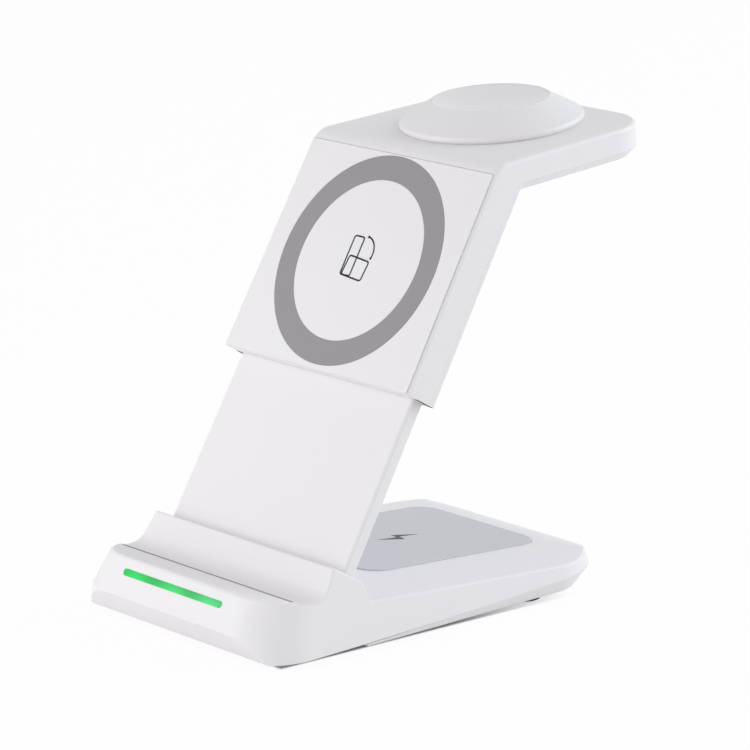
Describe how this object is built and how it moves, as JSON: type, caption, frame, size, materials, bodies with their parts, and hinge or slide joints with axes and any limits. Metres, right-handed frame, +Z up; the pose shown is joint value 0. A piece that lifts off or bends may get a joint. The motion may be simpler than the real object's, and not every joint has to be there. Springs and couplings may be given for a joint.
{
  "type": "three in one wireless charger",
  "caption": "Three-in-one wireless charging stand: phone panel with a magnet ring sliding on a leaning arm, round watch seat on a rear plate and an earbud pad on the base.",
  "frame": {"origin": "middle of the footprint of the whole stand, on the surface it stands on, under the feet", "axes": "+Z up, +Y to the rear (the way the watch plate points), +X to the right for a user facing the phone panel"},
  "size_m": [0.0802, 0.1386, 0.1283],
  "materials": {
    "white_abs": "fine satin moulded texture",
    "white_gloss": "polished moulded face",
    "grey_ring": "printed and lacquered, even matt",
    "grey_silicone": "soft matt silicone",
    "dark_rubber": "matt moulded rubber",
    "light_guide": "clear green light guide",
    "green_lamp": "moulded lamp body",
    "circuit_board": "solder mask on glass fibre",
    "black_epoxy": "moulded component bodies",
    "copper_winding": "wound enamelled wire",
    "ferrite": "sintered grey-black sheet",
    "steel": "plated, evenly rolled",
    "nickel_magnet": "nickel plated",
    "ribbon": "polyimide film",
    "acetal": "natural slick bearing plastic",
    "felt_pad": "dense short felt"
  },
  "bodies": {
    "stand": {"base_housing": "white_abs", "bottom_cover": "white_abs", "foot_pads": "dark_rubber", "rest_strip": "dark_rubber", "light_bar": "light_guide", "indicator_leds": "green_lamp", "indicator_board": "circuit_board", "earbud_pad": "grey_silicone", "earbud_coil": "copper_winding", "earbud_ferrite": "ferrite", "main_board": "circuit_board", "board_chips": "black_epoxy", "usb_socket": "steel", "base_screws": "steel", "arm_front_cover": "white_abs", "arm_rear_cover": "white_abs", "arm_spine": "steel", "arm_glide": "acetal", "arm_screws": "steel", "ribbon_cable": "ribbon"},
    "head": {"head_shell": "white_abs", "head_rear_cover": "white_abs", "front_panel": "white_abs", "ring_inlay": "grey_ring", "phone_magnets": "nickel_magnet", "magnet_shield": "steel", "phone_coil": "copper_winding", "phone_ferrite": "ferrite", "watch_puck": "white_abs", "watch_dish": "white_gloss", "watch_coil": "copper_winding", "watch_ferrite": "ferrite", "watch_magnet": "nickel_magnet", "charge_board": "circuit_board", "friction_pads": "felt_pad", "head_screws": "steel"}
  },
  "joints": [
    {"name": "head_slide", "type": "slide", "parent": "stand", "child": "head", "axis": [0, 0.5, 0.866], "range_m": [-0.046, 0]}
  ]
}
